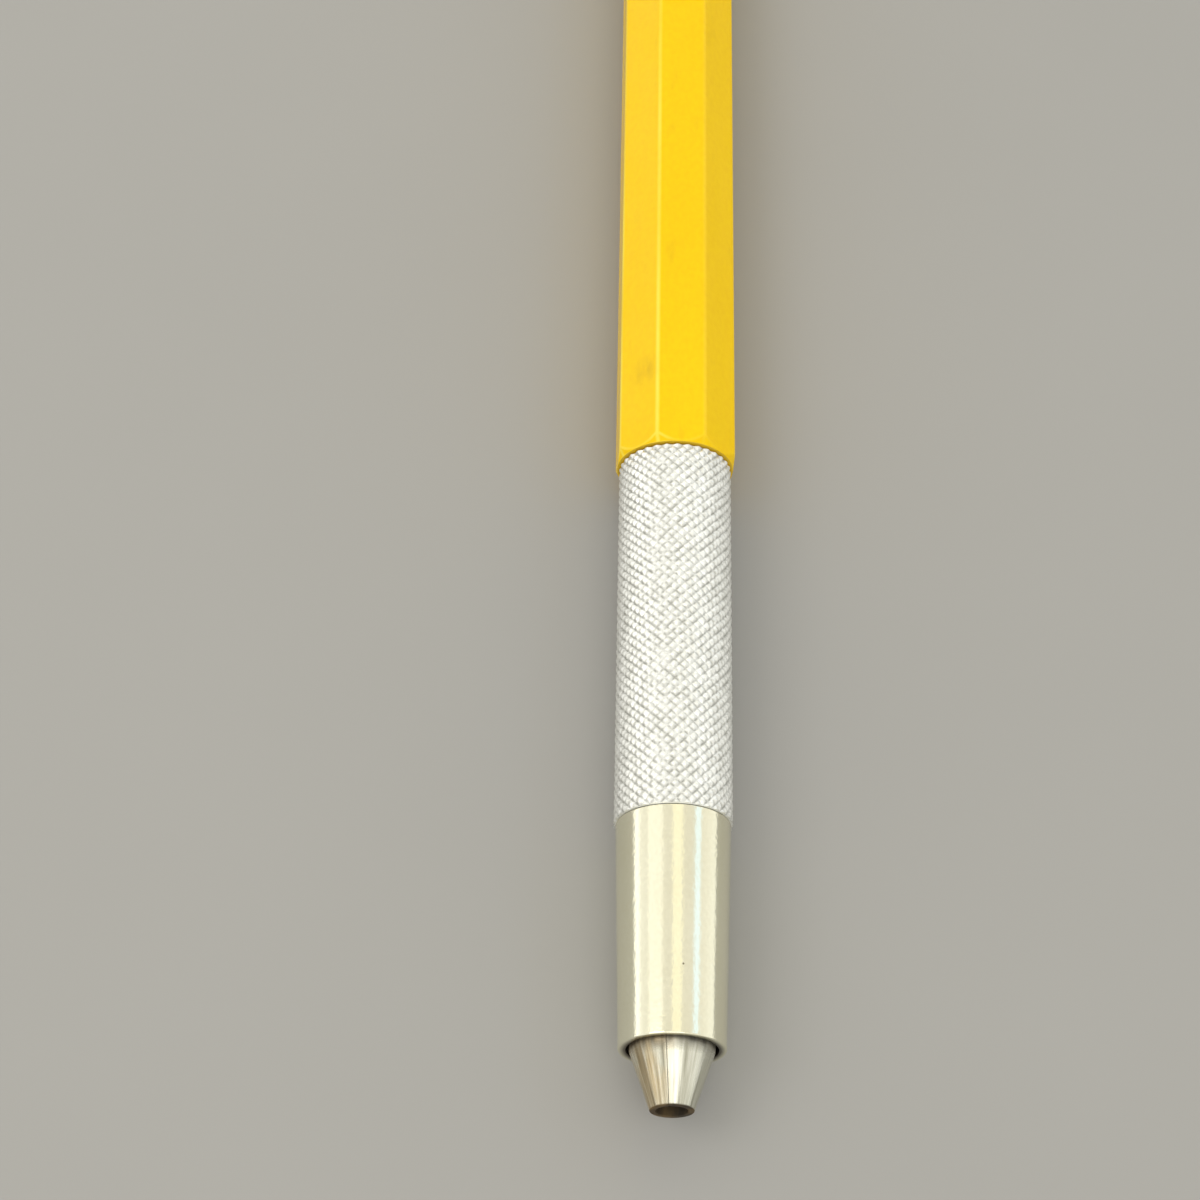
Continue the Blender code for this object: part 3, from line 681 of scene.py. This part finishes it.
def brass_finish():
    """Turned brass with fine lines round it and a brown bloom."""
    material, tree, shader = new_finish("core_brass_look", 1.0)
    bloom = grain(tree, (350, 200, 350), detail=5)
    colour = blend_colours(tree, bloom, (0.3, (0.58, 0.4, 0.17)), (0.7, (0.8, 0.61, 0.3)))
    tree.links.new(colour, shader.inputs["Base Color"])
    lines = grain(tree, (120, 7000, 120), detail=3)
    tree.links.new(spread(tree, lines, 0.3, 0.7, 0.2, 0.38), shader.inputs["Roughness"])
    raised(tree, shader, (lines, 0.004))
    return material


def wire_finish():
    """Drawn spring wire, grey with darker oil stains."""
    material, tree, shader = new_finish("spring_steel_look", 1.0)
    stain = grain(tree, (900, 900, 900), detail=5)
    colour = blend_colours(tree, stain, (0.3, (0.38, 0.37, 0.36)), (0.7, (0.62, 0.62, 0.63)))
    tree.links.new(colour, shader.inputs["Base Color"])
    fine = grain(tree, (5000, 5000, 5000), detail=2, seed=6.1)
    tree.links.new(spread(tree, fine, 0.3, 0.7, 0.2, 0.36), shader.inputs["Roughness"])
    raised(tree, shader, (fine, 0.003))
    return material


def graphite_finish():
    """Pressed graphite: near black, with a soft grey shine and fine lines along the stick."""
    material, tree, shader = new_finish("graphite_look", 0.0, ior=1.8)
    lines = grain(tree, (6000, 300, 6000), detail=4)
    colour = blend_colours(tree, lines, (0.3, (0.018, 0.018, 0.02)), (0.7, (0.05, 0.05, 0.055)))
    tree.links.new(colour, shader.inputs["Base Color"])
    tree.links.new(spread(tree, lines, 0.3, 0.7, 0.3, 0.46), shader.inputs["Roughness"])
    raised(tree, shader, (lines, 0.005))
    return material


# Studio

def make_floor():
    """Plain pale square sheet just under the pencil."""
    mesh = bpy.data.meshes.new("floor")
    side, low = FLOOR_HALF_SIDE, -FLOOR_GAP
    mesh.from_pydata([(-side, -side, low), (side, -side, low), (side, side, low), (-side, side, low)], [],
                     [(0, 1, 2, 3)])
    material, tree, shader = new_finish("floor_paper", 0.0)
    tone = grain(tree, (40, 40, 40), detail=3)
    colour = blend_colours(tree, tone, (0.3, (0.37, 0.365, 0.355)), (0.7, (0.376, 0.371, 0.361)))
    tree.links.new(colour, shader.inputs["Base Color"])
    shader.inputs["Roughness"].default_value = 0.8
    shader.inputs["Specular IOR Level"].default_value = 0.2
    mesh.materials.append(material)
    floor = bpy.data.objects.new("floor", mesh)
    bpy.context.scene.collection.objects.link(floor)


def add_softbox(name, towards, width, length, radiance, colour, distance=LAMP_DISTANCE):
    """Panel that faces the grip from the given direction, with its length along the pencil. Its power is
    four times its area times the radiance."""
    direction = Vector(towards).normalized()
    side = Vector((0.0, 1.0, 0.0)).cross(direction).normalized()
    lamp = bpy.data.lights.new(name, "AREA")
    lamp.shape = "RECTANGLE"
    lamp.size, lamp.size_y = width, length
    lamp.energy = 4 * width * length * radiance
    lamp.color = colour
    panel = bpy.data.objects.new(name, lamp)
    panel.location = Vector((0.0, tip_y + LAMP_STATION * MM, axis_z)) + distance * direction
    panel.rotation_euler = Matrix((side, direction.cross(side), direction)).transposed().to_euler()
    panel.visible_camera = False
    bpy.context.scene.collection.objects.link(panel)


def make_studio():
    """Pale room, brighter towards the horizon than overhead and most of all behind the button, with soft
    panels above the pencil and a low one beside it."""
    world = bpy.data.worlds.new("pale_room")
    world.use_nodes = True
    tree = world.node_tree
    room = tree.nodes["Background"]
    where = tree.nodes.new("ShaderNodeTexCoord")
    parts = tree.nodes.new("ShaderNodeSeparateXYZ")
    tree.links.new(where.outputs["Generated"], parts.inputs["Vector"])
    tint = blend_colours(tree, parts.outputs["Z"], (0.0, (1.0, 0.995, 0.95)), (0.7, (1.0, 0.965, 0.87)))
    tree.links.new(tint, room.inputs["Color"])
    overhead = spread(tree, parts.outputs["Z"], 0.0, 0.7, 1.06, 0.85)
    behind = spread(tree, parts.outputs["Y"], 0.78, 0.96, 0.0, 0.7)
    tree.links.new(calculate(tree, "ADD", overhead, behind), room.inputs["Strength"])
    bpy.context.scene.world = world
    add_softbox("key_panel", (-0.6, -0.04, 0.8), 0.3, 0.25, 1.9, (1.0, 0.98, 0.94))
    add_softbox("front_panel", (0.03, -0.41, 0.91), 0.4, 0.3, 0.8, (1.0, 1.0, 1.0))
    add_softbox("left_strip", (-0.582, 0.47, 0.66), 0.31, 0.7, 0.18, (1.0, 1.0, 0.95))
    add_softbox("low_strip", (-0.86, 0.47, 0.108), 0.48, 3.6, 0.26, (1.0, 1.0, 0.95), distance=2.4)
    add_softbox("top_strip", (0.053, 0.47, 0.878), 0.2, 0.7, 0.2, (1.0, 0.95, 0.52))
    add_softbox("right_strip", (0.617, 0.47, 0.628), 0.12, 0.7, 0.42, (0.2, 0.55, 1.0))


def make_camera():
    lens = bpy.data.cameras.new("camera")
    lens.lens = CAMERA_LENS
    lens.sensor_width = CAMERA_SENSOR
    lens.clip_start, lens.clip_end = 0.005, 20.0
    camera = bpy.data.objects.new("camera", lens)
    camera.location = CAMERA_PLACE
    camera.rotation_euler = [radians(angle) for angle in CAMERA_TURN]
    bpy.context.scene.collection.objects.link(camera)
    bpy.context.scene.camera = camera
    bpy.context.scene.view_settings.view_transform = "Standard"


def make_pieces():
    nickel = nickel_finish()
    collet = collet_finish()
    brass = brass_finish()
    make_barrel(lacquer_finish())
    make_grip(knurl_finish())
    turned("nose_cap", NOSE, nickel)
    turned("rear_ferrule", FERRULE, nickel)
    turned("push_button", BUTTON, nickel)
    for number in range(1, JAW_COUNT + 1):
        make_jaw(number, collet)
    turned("lead", LEAD, graphite_finish())
    for node, profile in (("grip_core", CORE), ("spring_seat", SEAT_RING), ("lead_tube", LEAD_TUBE),
                          ("collet_body", COLLET_BODY), ("spring_collar", COLLAR)):
        turned(node, profile, brass)
    make_spring(wire_finish())


clear_scene()
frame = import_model()
cad_low, cad_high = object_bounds()
tip_y = cad_low.y
axis_z = (cad_low.z + cad_high.z) / 2
make_pieces()
make_floor()
make_studio()
make_camera()
